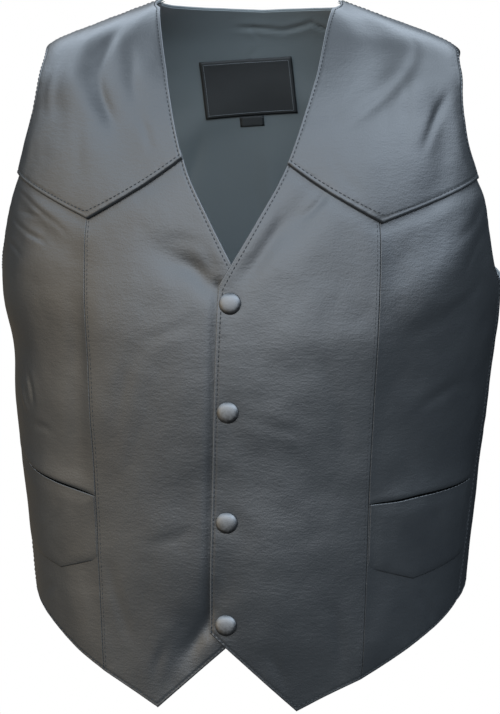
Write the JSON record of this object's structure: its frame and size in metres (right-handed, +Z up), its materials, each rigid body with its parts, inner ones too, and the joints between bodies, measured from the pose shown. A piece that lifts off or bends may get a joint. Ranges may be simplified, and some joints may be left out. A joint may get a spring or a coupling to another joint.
{
  "type": "biker vest",
  "caption": "Sleeveless black leather vest, filled out as worn and hollow, with pointed yokes, slit pockets, a V neck and snaps down the lapped front.",
  "frame": {"origin": "midway between the two neck points, where the shoulder seams meet the neckline; the wearer's shoulders hold the vest there", "axes": "+Z up, -Y the way the front faces, +X the wearer's left"},
  "size_m": [0.4517, 0.287, 0.6199],
  "materials": {
    "black_leather": "soft semi-gloss cowhide with a fine grain",
    "black_lining": "dull satin weave",
    "woven_label": "matt woven tape, bare",
    "pewter": "antique nickel, lightly brushed"
  },
  "bodies": {
    "root": {"yoke_left": "black_leather", "yoke_right": "black_leather", "front_left": "black_leather", "front_right": "black_leather", "side_left": "black_leather", "side_right": "black_leather", "pocket_left": "black_leather", "pocket_right": "black_leather", "back": "black_leather", "back_lining": "black_lining", "label": "woven_label", "size_tab": "woven_label", "snap_1": "pewter", "snap_2": "pewter", "snap_3": "pewter", "snap_4": "pewter"}
  },
  "joints": []
}
